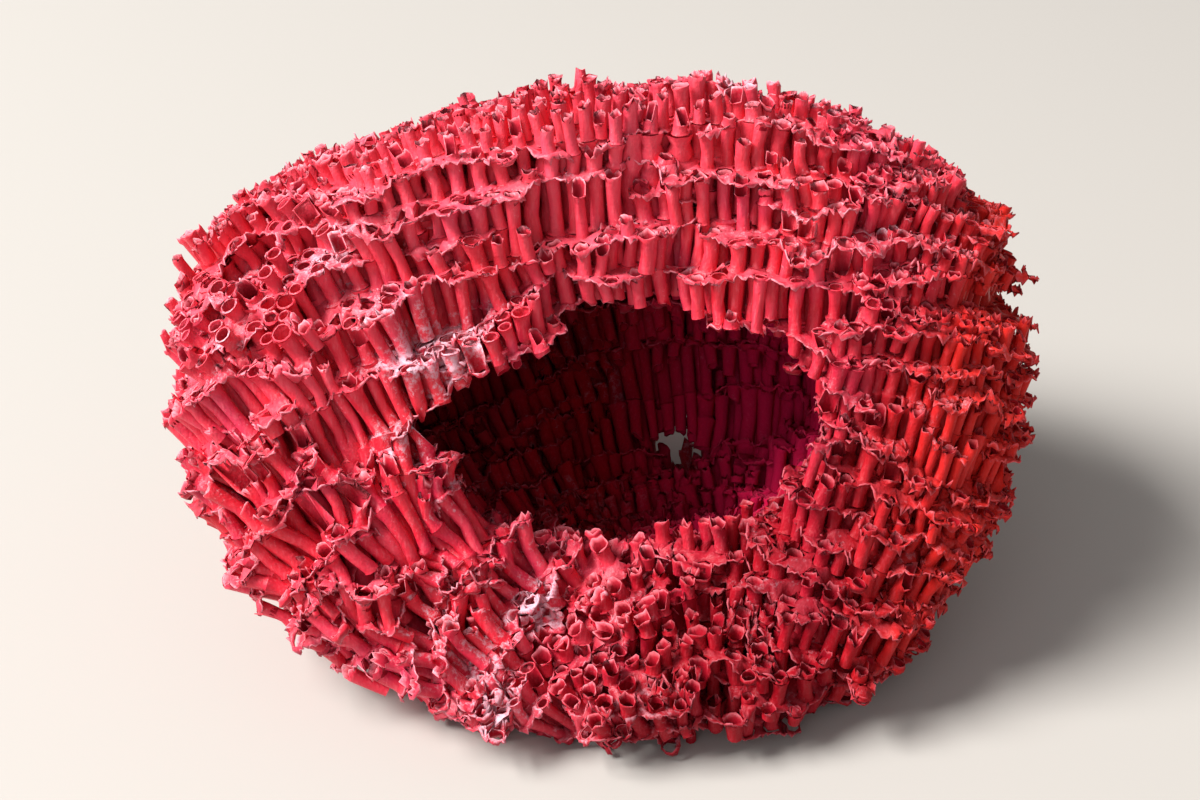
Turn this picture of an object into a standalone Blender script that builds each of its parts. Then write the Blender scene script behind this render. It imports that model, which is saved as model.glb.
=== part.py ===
"""A colony of organ pipe coral, cut off flat where it grew and standing on the cut.

The skeleton grew as one piece: pipes fan out and up from a small foot, and thin floors tie
them together every few millimetres, like the storeys of a tower. A cave opens in the front,
under an upright brow of pipes and over a bulging sill, and a small gap leads out behind.

Here the colony is one closed solid. Its wall is fluted along the pipes and stepped at the
floors. The origin is on the cut face, +X runs along the colony and the cave looks towards -Y.
"""

import math

import bmesh
import bpy
import numpy as np

# Growth. Floors are flat domes about one upright axis, and the pipes stand square on them.
FAN_X = 0.018
FAN_Y = 0.000
FAN_ROOT = 0.0206
FAN_SPREAD = 1.7
FLOOR_SPACING = 0.0072
FIRST_FLOOR = 1.5 * FLOOR_SPACING
FLOORS = 10

# The outside, as half-lengths from a leaning middle line at rising heights.
MIDDLE_X = 0.004
MIDDLE_Y = 0.006
MIDDLE_LEAN = 0.18
HEIGHTS = (-0.008, 0.000, 0.008, 0.018, 0.030, 0.045, 0.060, 0.075, 0.084, 0.089, 0.092)
LEFT = (0.028, 0.038, 0.054, 0.066, 0.073, 0.0765, 0.074, 0.053, 0.034, 0.022, 0.004)
RIGHT = (0.036, 0.044, 0.052, 0.059, 0.064, 0.0665, 0.0645, 0.054, 0.042, 0.030, 0.004)
FRONT = (0.028, 0.038, 0.0455, 0.046, 0.0425, 0.034, 0.025, 0.017, 0.012, 0.009, 0.003)
BACK = (0.032, 0.039, 0.0445, 0.049, 0.052, 0.053, 0.045, 0.0275, 0.013, 0.008, 0.003)
SQUARENESS = 2.6

# The front is set back round the cave's mouth.
RECESS_X = 0.003
RECESS_WIDTH = 0.036
RECESS_HEIGHTS = (0.006, 0.012, 0.019, 0.024, 0.034, 0.045, 0.058, 0.070, 0.080, 0.090)
RECESS_DEPTHS = (0.000, 0.001, 0.010, 0.020, 0.026, 0.023, 0.013, 0.008, 0.004, 0.000)

# Hollows: centre, half-lengths, and how much they drop for each metre towards the back.
CAVE = ((0.0035, 0.012, 0.0350), (0.0375, 0.036, 0.0215), 0.35)
GAP = ((0.0155, 0.046, 0.0085), (0.0050, 0.020, 0.0065), 0.12)

# Surface detail.
FLUTES = 52
FLUTE_DEPTH = 0.0016
LEDGE_DEPTH = 0.0014
LEDGE_THICKNESS = 0.0014
EVENNESS = 0.3
CROWN_ROWS = 8
CROWN_BUMP = 0.0012

CORAL_RED = (0.60, 0.045, 0.065, 1.0)


def along(heights, values, z):
    """A smooth curve through the values, with level ends and no overshoot."""
    heights = np.asarray(heights)
    values = np.asarray(values)
    steps = np.diff(values) / np.diff(heights)
    before, after = steps[:-1], steps[1:]
    shared = np.where(before * after > 0, 2 * before * after / (before + after + 1e-12), 0.0)
    slopes = np.concatenate([[steps[0]], shared, [steps[-1]]])
    z = np.clip(z, heights[0], heights[-1])
    i = np.clip(np.searchsorted(heights, z) - 1, 0, len(heights) - 2)
    width = heights[i + 1] - heights[i]
    t = (z - heights[i]) / width
    start = values[i] * (1 + 2 * t) * (1 - t) ** 2 + slopes[i] * width * t * (1 - t) ** 2
    end = values[i + 1] * t**2 * (3 - 2 * t) - slopes[i + 1] * width * t**2 * (1 - t)
    return start + end


def place(angle, reach, z):
    """The point at a reach from the middle line, at this bearing and height."""
    x = MIDDLE_X + reach * math.cos(angle)
    y = MIDDLE_Y + MIDDLE_LEAN * z + reach * math.sin(angle)
    return x, y


def outside(angle, z):
    """Distance from the middle line to the outside, at this bearing and these heights."""
    across = along(HEIGHTS, RIGHT if math.cos(angle) > 0 else LEFT, z)
    fore_and_aft = along(HEIGHTS, BACK if math.sin(angle) > 0 else FRONT, z)
    share = np.abs(math.cos(angle) / across) ** SQUARENESS
    share = share + np.abs(math.sin(angle) / fore_and_aft) ** SQUARENESS
    reach = share ** (-1 / SQUARENESS)
    if math.sin(angle) > 0:
        return reach
    off_centre = (MIDDLE_X + reach * math.cos(angle) - RECESS_X) / RECESS_WIDTH
    depth = along(RECESS_HEIGHTS, RECESS_DEPTHS, z) * np.exp(-np.abs(off_centre) ** 3)
    return reach - depth / max(-math.sin(angle), 0.5)


def growth(x, y, z):
    """Height on the fan's axis of the floor that passes through a point."""
    spread = ((x - FAN_X) ** 2 + (y - FAN_Y) ** 2) / FAN_SPREAD
    return np.sqrt((z + FAN_ROOT) ** 2 + spread) - FAN_ROOT


def meridian_heights(angle):
    """Heights of the rows of points up the side at this bearing."""
    lift = np.sin(np.linspace(0, math.pi / 2, 400))
    z = HEIGHTS[0] + (HEIGHTS[-1] - HEIGHTS[0]) * lift
    reach = outside(angle, z)
    length = np.concatenate([[0], np.cumsum(np.hypot(np.diff(reach), np.diff(z)))])
    level = np.maximum.accumulate(growth(*place(angle, reach, z), z)) + length * 1e-4
    half = LEDGE_THICKNESS / 2
    wanted = []
    for floor in range(FLOORS):
        height = FIRST_FLOOR + floor * FLOOR_SPACING
        wanted += [height - half, height + half, height + FLOOR_SPACING / 2]
    on_floors = np.interp(wanted, level, length)
    even = np.linspace(0.004, on_floors[-1], len(wanted))
    rows = on_floors + (even - on_floors) * EVENNESS
    crown = np.linspace(rows[-1], length[-1], CROWN_ROWS + 1)[1:]
    return np.interp(np.concatenate([rows, crown]), length, z)


def bearings(count):
    """Angles round the middle line, spaced evenly along the outside at its widest."""
    fine = np.linspace(0, 2 * math.pi, 721)
    widest = HEIGHTS[5]
    points = np.array([place(a, outside(a, widest), widest) for a in fine])
    length = np.concatenate([[0], np.cumsum(np.linalg.norm(np.diff(points, axis=0), axis=1))])
    return np.interp(np.arange(count) / count * length[-1], length, fine)


def clear_scene():
    for item in list(bpy.data.objects):
        bpy.data.objects.remove(item)


def collection(name):
    made = bpy.data.collections.new(name)
    bpy.context.scene.collection.children.link(made)
    return made


def ball(name, segments, rings, home):
    """A UV sphere of radius 1 as a mesh object."""
    mesh = bpy.data.meshes.new(name)
    shape = bmesh.new()
    bmesh.ops.create_uvsphere(shape, u_segments=segments, v_segments=rings, radius=1.0)
    shape.to_mesh(mesh)
    shape.free()
    item = bpy.data.objects.new(name, mesh)
    home.objects.link(item)
    return item


def grid_place(point, segments, rings):
    """Ring from the bottom, and segment, of a point on a unit UV sphere."""
    ring = round((1 - math.acos(max(-1.0, min(1.0, point.z))) / math.pi) * rings)
    segment = round(math.atan2(point.y, point.x) / (2 * math.pi) * segments) % segments
    return ring, segment


def build_colony(home):
    """The colony before the hollows: rings become floors, and meridians become pipes."""
    segments = FLUTES * 2
    side_rows = FLOORS * 3
    rings = side_rows + CROWN_ROWS + 1
    colony = ball("coral_colony", segments, rings, home)
    angles = bearings(segments)
    heights = [meridian_heights(angle) for angle in angles]
    for vertex in colony.data.vertices:
        ring, segment = grid_place(vertex.co, segments, rings)
        angle = angles[segment]
        sign = 1 if segment % 2 else -1
        if ring == 0:
            vertex.co = (*place(angle, 0.0, HEIGHTS[0]), HEIGHTS[0])
        elif ring == rings:
            vertex.co = (*place(angle, 0.0, HEIGHTS[-1]), HEIGHTS[-1])
        elif ring <= side_rows:
            z = heights[segment][ring - 1]
            between = ring % 3 == 0
            inset = LEDGE_DEPTH if between else 0.0
            flute = sign * FLUTE_DEPTH / 2 * (1.0 if between else 0.3)
            vertex.co = (*place(angle, outside(angle, z) - inset + flute, z), z)
        else:
            z = heights[segment][ring - 1]
            checker = 1 if (segment // 2 + ring) % 2 else -1
            x, y = place(angle, outside(angle, z), z)
            vertex.co = (x, y, z + checker * CROWN_BUMP / 2)
    return colony


def build_hollow(name, spec, segments, rings, flute, home):
    """A sloping egg to cut with, fluted from pole to pole where flute is more than 0."""
    centre, half, drop = spec
    hollow = ball(name, segments, rings, home)
    for vertex in hollow.data.vertices:
        ring, segment = grid_place(vertex.co, segments, rings)
        swell = 1 + (flute if segment % 2 else -flute) * math.sqrt(max(0.0, 1 - vertex.co.z**2))
        x, y, z = [h * v * swell for h, v in zip(half, vertex.co)]
        vertex.co = (centre[0] + x, centre[1] + y, centre[2] + z - y * drop)
    hollow.hide_render = True
    hollow.display_type = "WIRE"
    return hollow


def build_ground(home):
    """A block below the cut."""
    mesh = bpy.data.meshes.new("ground_block")
    shape = bmesh.new()
    bmesh.ops.create_cube(shape, size=1.0)
    bmesh.ops.scale(shape, vec=(0.4, 0.4, 0.05), verts=shape.verts)
    bmesh.ops.translate(shape, vec=(0.0, 0.0, -0.025), verts=shape.verts)
    shape.to_mesh(mesh)
    shape.free()
    block = bpy.data.objects.new("ground_block", mesh)
    home.objects.link(block)
    block.hide_render = True
    block.display_type = "WIRE"
    return block


def cut(item, cutter):
    step = item.modifiers.new("cut_" + cutter.name, "BOOLEAN")
    step.operation = "DIFFERENCE"
    step.solver = "EXACT"
    step.object = cutter


def coral_material():
    material = bpy.data.materials.new("coral_skeleton")
    material.use_nodes = True
    shader = material.node_tree.nodes["Principled BSDF"]
    shader.inputs["Base Color"].default_value = CORAL_RED
    shader.inputs["Roughness"].default_value = 0.6
    shader.inputs["Metallic"].default_value = 0.0
    return material


clear_scene()
parts = collection("organ_pipe_coral")
cutters = collection("cutters")
colony = build_colony(parts)
colony.data.materials.append(coral_material())
cut(colony, build_ground(cutters))
cut(colony, build_hollow("cave", CAVE, 36, 16, 0.02, cutters))
cut(colony, build_hollow("gap", GAP, 14, 10, 0.0, cutters))
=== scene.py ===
"""The looks of a colony of organ pipe coral: thousands of thin red pipes, tied by frilly floors."""

import math

import bpy
import numpy as np
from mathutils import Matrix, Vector
from mathutils.bvhtree import BVHTree
from mathutils.geometry import delaunay_2d_cdt
from mathutils.kdtree import KDTree


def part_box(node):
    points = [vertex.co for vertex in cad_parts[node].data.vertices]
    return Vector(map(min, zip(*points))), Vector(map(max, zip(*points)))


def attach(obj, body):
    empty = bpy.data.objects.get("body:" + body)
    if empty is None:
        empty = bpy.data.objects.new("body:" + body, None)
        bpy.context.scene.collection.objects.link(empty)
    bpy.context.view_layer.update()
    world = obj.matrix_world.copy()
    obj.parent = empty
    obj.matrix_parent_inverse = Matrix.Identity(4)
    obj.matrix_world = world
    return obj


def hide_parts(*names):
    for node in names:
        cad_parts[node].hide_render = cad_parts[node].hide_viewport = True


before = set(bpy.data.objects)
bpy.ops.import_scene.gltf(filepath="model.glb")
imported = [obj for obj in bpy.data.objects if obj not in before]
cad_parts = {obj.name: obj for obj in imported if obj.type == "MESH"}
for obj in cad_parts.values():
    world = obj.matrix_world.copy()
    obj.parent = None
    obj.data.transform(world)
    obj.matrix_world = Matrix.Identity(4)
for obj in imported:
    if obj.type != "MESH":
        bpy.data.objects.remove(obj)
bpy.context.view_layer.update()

# --- The view, the light and the ground -------------------------------------------------------
# The colony stands on a plain pale table and is seen from the front and above. A wide soft
# lamp hangs at the upper left, and a pale room fills the shadows.
MM = 0.001
VIEW_TARGET = (0.0, 0.0, 45 * MM)
VIEW_DISTANCE = 265 * MM
VIEW_PITCH = math.radians(32)
LENS = 49.4
SENSOR_WIDTH = 36.0
GROUND_COLOUR = "B2AFAB"
GROUND_SIZE = 12.0
ROOM_COLOUR = "F4F1EE"
ROOM_BRIGHTNESS = 0.34


def linear(code):
    """Linear RGBA of an sRGB hex colour."""
    parts = [int(code[i:i + 2], 16) / 255 for i in (0, 2, 4)]
    return (*[c / 12.92 if c <= 0.04045 else ((c + 0.055) / 1.055) ** 2.4 for c in parts], 1.0)


def add(tree, kind, values=(), **settings):
    """A node with its settings. A value is a constant, or the socket or the node that feeds the input."""
    made = tree.nodes.new(kind)
    for name, value in settings.items():
        setattr(made, name, value)
    for key, value in dict(values).items():
        if isinstance(value, bpy.types.Node):
            value = value.outputs[0]
        if isinstance(value, bpy.types.NodeSocket):
            tree.links.new(value, made.inputs[key])
        else:
            made.inputs[key].default_value = value
    return made


def new_material(name):
    """A material with a bare node tree, and its output node."""
    material = bpy.data.materials.new(name)
    material.use_nodes = True
    material.node_tree.nodes.clear()
    return material, add(material.node_tree, "ShaderNodeOutputMaterial")


def place_lamp(name, position, size, power, colour):
    """A square area lamp that faces the colony."""
    lamp = bpy.data.lights.new(name, "AREA")
    lamp.shape = "SQUARE"
    lamp.size = size
    lamp.energy = power
    lamp.color = linear(colour)[:3]
    item = bpy.data.objects.new(name, lamp)
    item.location = position
    item.rotation_euler = (Vector(VIEW_TARGET) - Vector(position)).to_track_quat("-Z", "Y").to_euler()
    bpy.context.scene.collection.objects.link(item)


camera = bpy.data.objects.new("camera", bpy.data.cameras.new("camera"))
camera.data.lens = LENS
camera.data.sensor_width = SENSOR_WIDTH
camera.data.clip_start = 0.01
back_off = VIEW_DISTANCE * math.cos(VIEW_PITCH)
rise = VIEW_DISTANCE * math.sin(VIEW_PITCH)
camera.location = (VIEW_TARGET[0], VIEW_TARGET[1] - back_off, VIEW_TARGET[2] + rise)
camera.rotation_euler = (math.pi / 2 - VIEW_PITCH, 0.0, 0.0)
bpy.context.scene.collection.objects.link(camera)
bpy.context.scene.camera = camera

place_lamp("window", position=(-1.85, -0.30, 2.00), size=1.25, power=180.0, colour="FFFCF8")
place_lamp("front", position=(-0.60, -1.60, 1.15), size=1.4, power=6.5, colour="FAF8FF")
bpy.context.scene.view_settings.view_transform = "Standard"

world = bpy.data.worlds.new("room")
world.use_nodes = True
room = world.node_tree.nodes["Background"].inputs
room["Color"].default_value = linear(ROOM_COLOUR)
room["Strength"].default_value = ROOM_BRIGHTNESS
bpy.context.scene.world = world

# Painted board: matt and even, so that it gives only a soft shadow and no reflection.
ground_paint, output = new_material("matt_painted_board")
tree = ground_paint.node_tree
shader = add(tree, "ShaderNodeBsdfPrincipled", {"Base Color": linear(GROUND_COLOUR), "Roughness": 0.6})
tree.links.new(shader.outputs[0], output.inputs["Surface"])
bpy.ops.mesh.primitive_plane_add(size=GROUND_SIZE)
ground = bpy.context.object
ground.name = "ground"
ground.data.materials.append(ground_paint)

# --- The shape that is left -------------------------------------------------------------------
# The colony broke and wore back to a lump with a cave in it. What is left is told by how deep
# a point lies below the lump's outside, read from the solid on a fine grid.
GRID_STEP = 1.5 * MM
GRID_MARGIN = 7.5 * MM
FAR_INSIDE = 16 * MM
CUT_LEVEL = 0.3 * MM
NUDGES = (0.013 * MM, 0.047 * MM, 0.101 * MM)
LIP_START = np.array([-11.0, 1.5, 57.0]) * MM
LIP_RUN = np.array([-14.0, -6.0, -6.0]) * MM
LIP_RADIUS = 4.8 * MM

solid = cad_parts["coral_colony"].data
corners = np.array([v.co for v in solid.vertices])
faces = [tuple(p.vertices) for p in solid.polygons]
whole = BVHTree.FromPolygons(corners.tolist(), faces)
on_the_cut = [max(corners[v][2] for v in face) < 0.1 * MM for face in faces]
sides_only = BVHTree.FromPolygons(corners.tolist(), [f for f, cut in zip(faces, on_the_cut) if not cut])
low, high = [np.array(corner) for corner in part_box("coral_colony")]
grid_low = low - GRID_MARGIN
grid_counts = np.ceil((high - low + 2 * GRID_MARGIN) / GRID_STEP).astype(int) + 1


def crossings(x, y):
    """Heights where an upright line passes the solid's skin. An odd count met an edge: it is nudged."""
    for shift in NUDGES:
        found = []
        z = -20 * MM
        while True:
            hit = whole.ray_cast(Vector((x + shift, y + 0.6 * shift, z)), Vector((0, 0, 1)))[0]
            if hit is None:
                break
            found.append(hit.z)
            z = hit.z + 1e-5
        if len(found) % 2 == 0:
            break
    return found


def in_lip(x, y, z):
    """Depth inside the ragged lip that hangs at the upper left of the cave's mouth."""
    off = np.array([x, y, z]) - LIP_START
    along = np.clip(off @ LIP_RUN / (LIP_RUN @ LIP_RUN), 0, 1)
    return LIP_RADIUS - np.linalg.norm(off - along * LIP_RUN)


def read_depths():
    """Depth inside what is left at each grid point, below 0 outside. The cut doesn't count."""
    depths = np.zeros(grid_counts)
    heights = grid_low[2] + np.arange(grid_counts[2]) * GRID_STEP
    for i in range(grid_counts[0]):
        x = grid_low[0] + i * GRID_STEP
        for j in range(grid_counts[1]):
            y = grid_low[1] + j * GRID_STEP
            passed = np.array(crossings(x, y))
            for k, z in enumerate(heights):
                level = max(z, CUT_LEVEL)
                inside = len(passed[passed < level]) % 2 == 1
                near = sides_only.find_nearest(Vector((x, y, level)), FAR_INSIDE)[3]
                distance = FAR_INSIDE if near is None else near
                depths[i, j, k] = max(distance if inside else -distance, in_lip(x, y, level))
    return depths


depth_grid = read_depths()


def depth(points):
    """Depth of points inside the solid, by straight-line steps between grid points."""
    at = (points - grid_low) / GRID_STEP
    at = np.clip(at, 0, grid_counts - 1.001)
    cell = at.astype(int)
    part = at - cell
    total = np.zeros(len(points))
    for corner in range(8):
        bits = np.array([corner >> 2 & 1, corner >> 1 & 1, corner & 1])
        weight = np.prod(np.where(bits, part, 1 - part), axis=1)
        i, j, k = (cell + bits).T
        total += weight * depth_grid[i, j, k]
    return total


def unit(vectors):
    return vectors / (np.linalg.norm(vectors, axis=1, keepdims=True) + 1e-12)


def outward(points):
    """Unit vectors that point the shortest way out of the solid."""
    step = 1.2 * MM
    slopes = [depth(points - axis * step) - depth(points + axis * step) for axis in np.eye(3)]
    return unit(np.array(slopes).T)


def ramp(value, start, end):
    """From 0 at the start to 1 at the end, and even beyond them."""
    return np.clip((value - start) / (end - start), 0, 1)


def bump(points, middle, size):
    """From 1 at the middle of a soft lump to 0 well outside it."""
    return np.exp(-(((points - middle) / size) ** 2).sum(axis=1))


# --- How it grew ------------------------------------------------------------------------------
# Pipes fan out and up from a small foot, and a new one buds wherever a floor has room. Floors
# are flat domes about one upright axis, and the pipes stand square on them.
FAN = np.array([18.0, 0.0]) * MM  # the upright axis that the pipes fan out from
FAN_ROOT = 20.6 * MM  # how far the fan's root lies below the cut
FAN_SPREAD = 1.7  # floors are flatter than balls about the root, and pipes bend to meet them
FAN_REACH = 100 * MM  # height over the root of the level plane where each pipe's home is
FAN_EDGE = 8.6 * MM  # height over the root where the floors end
FAN_STEPS = 9
FOOT_LEAN, LEAN_HEIGHT = np.array([4.0, -14.0]) * MM, 60 * MM
FLOOR_SPACING, FLOORS = 7.2 * MM, 14
STEP, STEPS = FLOOR_SPACING / 2, 2 * FLOORS  # every other step is a floor between two others
PIPE_RADIUS, PIPE_RADIUS_RANGE = 1.06 * MM, 0.12 * MM
PIPE_ROOM, EASY_ROOM = 2.32 * MM, 3.35 * MM  # a bud needs the first, and moves to get the second
BUD_TRIES, BUD_DEPTH = 40, -3 * MM
DEATH_RATE = 0.03
RIGHT_SIDE, RIGHT_THINNER = (32 * MM, 47 * MM), 0.24
UNRULY_MIDDLE, UNRULY_SIZE = np.array([-38.0, -16.0, 24.0]) * MM, np.array([27.0, 26.0, 22.0]) * MM
TURN, TURN_MIDDLE, TURN_SIZE = 0.45, np.array([-52.0, 2.0, 61.0]) * MM, 17 * MM
# Each unevenness has its strength, more of it where growth is unruly, its size and its seed.
WAVES = 9
DRIFT, DRIFT_SIZE, DRIFT_SEED = 0.9 * MM, 28 * MM, 100
BEND, UNRULY_BEND, BEND_SIZE, BEND_SEED = 0.22 * MM, 1.4 * MM, 8 * MM, 110
SAG, UNRULY_SAG, SAG_SIZE, SAG_SEED = 0.95 * MM, 0.7 * MM, 22 * MM, 200
RIPPLE, RIPPLE_SIZE, RIPPLE_SEED = 0.34 * MM, 6 * MM, 300
BETWEEN_SIZE, BETWEEN_SEED = 16 * MM, 600
BETWEEN_RIGHT, BETWEEN_FOOT = (30 * MM, 44 * MM), (34 * MM, 22 * MM)
KINK, KINKS = 0.17 * MM, 2
FLOOR_UNEVEN = 0.22 * MM
# Shelves on the left: middle and size in mm, the floor they lie on, and the mm they are cut back.
SHELVES = (((-53, 5, 63), 14, 21, 7.0), ((-40, 2, 62), 8, 20, 4.0))
SEED = 7

luck = np.random.default_rng(SEED)


def smooth_noise(points, size, seed):
    """A smooth random field of about unit strength whose lumps are about this size."""
    dice = np.random.default_rng(seed)
    ways = unit(dice.normal(size=(WAVES, 3)))
    waves = ways * (2 * math.pi / size * dice.uniform(0.35, 0.75, (WAVES, 1)))
    phases = dice.uniform(0, 2 * math.pi, WAVES)
    return np.sin(points @ waves.T + phases).sum(axis=1) * (2 / WAVES) ** 0.5


def rise_of(reach, level):
    """Height over the root of the pipe that reaches this far out, where it passes a level."""
    top = level + FAN_ROOT
    power = 2 / FAN_SPREAD
    share = reach**2 / FAN_SPREAD / FAN_REACH**power
    up = top.copy()
    for _ in range(FAN_STEPS):
        up -= (up**2 + share * up**power - top**2) / (2 * up + share * power * up ** (power - 1))
    return up


def straight_path(home, level):
    """Where the pipe from this home passes a level, before the growth is disturbed."""
    up = rise_of(np.linalg.norm(home, axis=1), level)
    flat = FAN + home * ((up / FAN_REACH) ** (1 / FAN_SPREAD))[:, None]
    return np.column_stack([flat, up - FAN_ROOT])


def home_of(points):
    """The home of the pipe through each point: where it passes a level plane high up."""
    up = points[:, 2] + FAN_ROOT
    return (points[:, :2] - FAN) / ((up / FAN_REACH) ** (1 / FAN_SPREAD))[:, None]


def unruly(points):
    """How crooked the growth is, from 0 to 1: most so low on the left."""
    return bump(points, UNRULY_MIDDLE, UNRULY_SIZE)


def disturb(points):
    """The foot leans forwards, the left side turns to the front, and growth wanders a little."""
    moved = points.copy()
    off = points - TURN_MIDDLE
    turn = TURN * bump(points, TURN_MIDDLE, TURN_SIZE)
    moved[:, 1] -= turn * off[:, 2]
    moved[:, 2] += turn * off[:, 1]
    foot = np.clip(1 - points[:, 2] / LEAN_HEIGHT, 0, 1.3) ** 1.2
    moved[:, :2] += foot[:, None] * FOOT_LEAN
    bend = BEND + UNRULY_BEND * unruly(points)
    for axis in range(3):
        moved[:, axis] += DRIFT * smooth_noise(points, DRIFT_SIZE, DRIFT_SEED + axis)
        moved[:, axis] += bend * smooth_noise(points, BEND_SIZE, BEND_SEED + axis)
    return moved


def on_the_right(x):
    """From 0 in the middle to 1 on the right side, where pipes are thinner and closer."""
    return ramp(x, *RIGHT_SIDE)


def elbow_room(buds, others, level):
    """Moves new pipes along their floor, away from close neighbours."""
    rest = np.array([o for o in others.tolist() if o not in buds.tolist()]).reshape(-1, 3)
    for _ in range(4):
        crowd = np.concatenate([rest, buds])
        gap = buds[:, None] - crowd[None]
        away = np.linalg.norm(gap, axis=2) + 1e-9
        easy = EASY_ROOM * (1 - RIGHT_THINNER * on_the_right(buds[:, :1]))
        push = np.where(away > 1e-6, np.clip(1 - away / easy, 0, 1), 0)
        buds = buds + (gap / away[..., None] * push[..., None]).sum(axis=1) * 0.6 * MM
        under = (level + FAN_ROOT) ** 2 - ((buds[:, :2] - FAN) ** 2).sum(axis=1) / FAN_SPREAD
        buds[:, 2] = np.sqrt(np.maximum(under, (8 * MM) ** 2)) - FAN_ROOT
    return buds


def cell_of(point):
    return tuple(int(c // PIPE_ROOM) for c in point)


def likely_spots(level):
    """Spots strewn evenly over a floor, where it lies in or near what is left."""
    span = high[:2] - low[:2] + 12 * MM
    count = int(BUD_TRIES * span[0] * span[1] / PIPE_ROOM**2)
    flat = low[:2] - 6 * MM + luck.random((count, 2)) * span
    under = (level + FAN_ROOT) ** 2 - ((flat - FAN) ** 2).sum(axis=1) / FAN_SPREAD
    flat = flat[under > FAN_EDGE**2]
    up = np.sqrt(under[under > FAN_EDGE**2])
    points = np.column_stack([flat, up - FAN_ROOT])
    keep = depth(disturb(points)) > BUD_DEPTH
    slope = np.sqrt(1 + ((points[:, :2] - FAN) ** 2).sum(axis=1) / (FAN_SPREAD * up) ** 2)
    keep &= luck.random(len(points)) < slope / slope.max()
    return points[keep]


def bud_pipes():
    """Grows the colony floor by floor. Each pipe has a home, the floor it buds on and its last."""
    homes, first, last, thinner = [], [], [], []
    for floor in range(FLOORS):
        level = floor * FLOOR_SPACING
        alive = [home for home, life in zip(homes, last) if life > floor]
        taken = {}
        if alive:
            for p in straight_path(np.array(alive), np.full(len(alive), level)):
                taken.setdefault(cell_of(p), []).append(p)
        points = likely_spots(level)
        buds = []
        rooms = PIPE_ROOM * (1 - RIGHT_THINNER * on_the_right(points[:, 0]))
        for p, room in zip(points, rooms):
            x, y, z = cell_of(p)
            near = [o for i in (-1, 0, 1) for j in (-1, 0, 1) for k in (-1, 0, 1)
                    for o in taken.get((x + i, y + j, z + k), ())]
            if all(((p - o) ** 2).sum() > room**2 for o in near):
                taken.setdefault((x, y, z), []).append(p)
                buds.append(p)
        others = np.array([p for cell in taken.values() for p in cell])
        buds = elbow_room(np.array(buds), others, level)
        for home, x in zip(home_of(buds), buds[:, 0]):
            homes.append(home)
            thinner.append(1 - RIGHT_THINNER * on_the_right(x))
            first.append(floor)
            life = FLOORS
            for later in range(floor + 1, FLOORS):
                if luck.random() < DEATH_RATE:
                    life = later
                    break
            last.append(life)
    return np.array(homes), np.array(first), np.array(last), np.array(thinner)


pipe_home, pipe_first, pipe_last, pipe_thinner = bud_pipes()
pipe_count = len(pipe_home)
pipe_radius = PIPE_RADIUS + PIPE_RADIUS_RANGE * np.clip(luck.normal(size=pipe_count), -2, 2)
pipe_radius *= pipe_thinner
pipe_seed = luck.random(pipe_count)
kink = luck.normal(size=(pipe_count, FLOORS * KINKS + 3, 2)) * KINK


def path(pipe, level):
    """Where pipes pass levels, with the bends and kinks of real growth."""
    spot = straight_path(pipe_home[pipe], level)
    at = np.clip(level / FLOOR_SPACING * KINKS, 0, FLOORS * KINKS + 1.999)
    step = at.astype(int)
    part = (at - step)[:, None]
    part = part * part * (3 - 2 * part)
    shift = kink[pipe, step] * (1 - part) + kink[pipe, step + 1] * part
    spot[:, :2] += shift
    return disturb(spot)


def path_way(pipe, level):
    """Unit vectors along the pipes where they pass levels."""
    step = 0.4 * MM
    return unit(path(pipe, level + step) - path(pipe, level - step))


def floor_level(step, points):
    """The level of a floor at some points: floors sag and swell between the pipes."""
    sag = SAG + UNRULY_SAG * unruly(points)
    level = step * STEP + sag * smooth_noise(points, SAG_SIZE, SAG_SEED + step * 10)
    return level + RIPPLE * smooth_noise(points, RIPPLE_SIZE, RIPPLE_SEED + step * 10)


def near_shelf(points, middle, size):
    """Distance from a shelf's middle as a share of its size."""
    return np.linalg.norm(points - np.array(middle) * MM, axis=1) / (size * MM)


def between(step, points):
    """Where a floor grew half-way between two others: mostly on the right side and at the foot."""
    places = disturb(points)
    urge = smooth_noise(points, BETWEEN_SIZE, BETWEEN_SEED + step) + unruly(points)
    urge += 1.5 * ramp(places[:, 0], *BETWEEN_RIGHT) + 1.3 * ramp(places[:, 2], *BETWEEN_FOOT)
    there = urge > 1.2
    for middle, size, shelf_step, _ in SHELVES:
        if step == shelf_step:
            there |= near_shelf(places, middle, size + 4) < 1
    return there


# The levels at which each pipe passes each floor. Odd steps are the floors between, where there
# are any.
passing = np.full((pipe_count, STEPS + 1), np.nan)
for step in range(STEPS + 1):
    spots = straight_path(pipe_home, np.full(pipe_count, step * STEP))
    passing[:, step] = floor_level(step, spots)
    if step % 2:
        passing[~between(step, spots), step] = np.nan
passing += FLOOR_UNEVEN * luck.normal(size=passing.shape)

# --- What broke off ---------------------------------------------------------------------------
# Pipes snap at the outside: most just over a floor, the rest wherever they were knocked. Some
# that lie open along the outside are split, with only the back half left.
SAMPLE = 0.8 * MM
SNAP_SHARE = 0.93
SNAP_ROOM, STEEP_SNAP_ROOM = 1.9 * MM, 0.3 * MM  # how far out of the lump a snapped end may stand
STEEP = 0.84  # depth lost per length of pipe where the pipe leaves the lump squarely
CROWN = 77 * MM
LOW_STUB_SHARE = 0.78
LOWEST_STUB, LOW_STUB, HIGH_STUB = 0.1 * MM, 0.3 * MM, 1.3 * MM
HANGING_SNAP_SHARE = 0.6
SHORTEST = 1.2 * MM
WEAR, WEAR_UNEVEN, WEAR_SIZE, WEAR_SEED = 0.5 * MM, 0.55 * MM, 9 * MM, 400
CROWN_WEAR = 1.1 * MM
GAP_MIDDLE, GAP_SIZE = np.array([15.5, 46.0, 8.5]) * MM, np.array([12, 20, 14]) * MM
GAP_SAVED = 1.3 * MM
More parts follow.
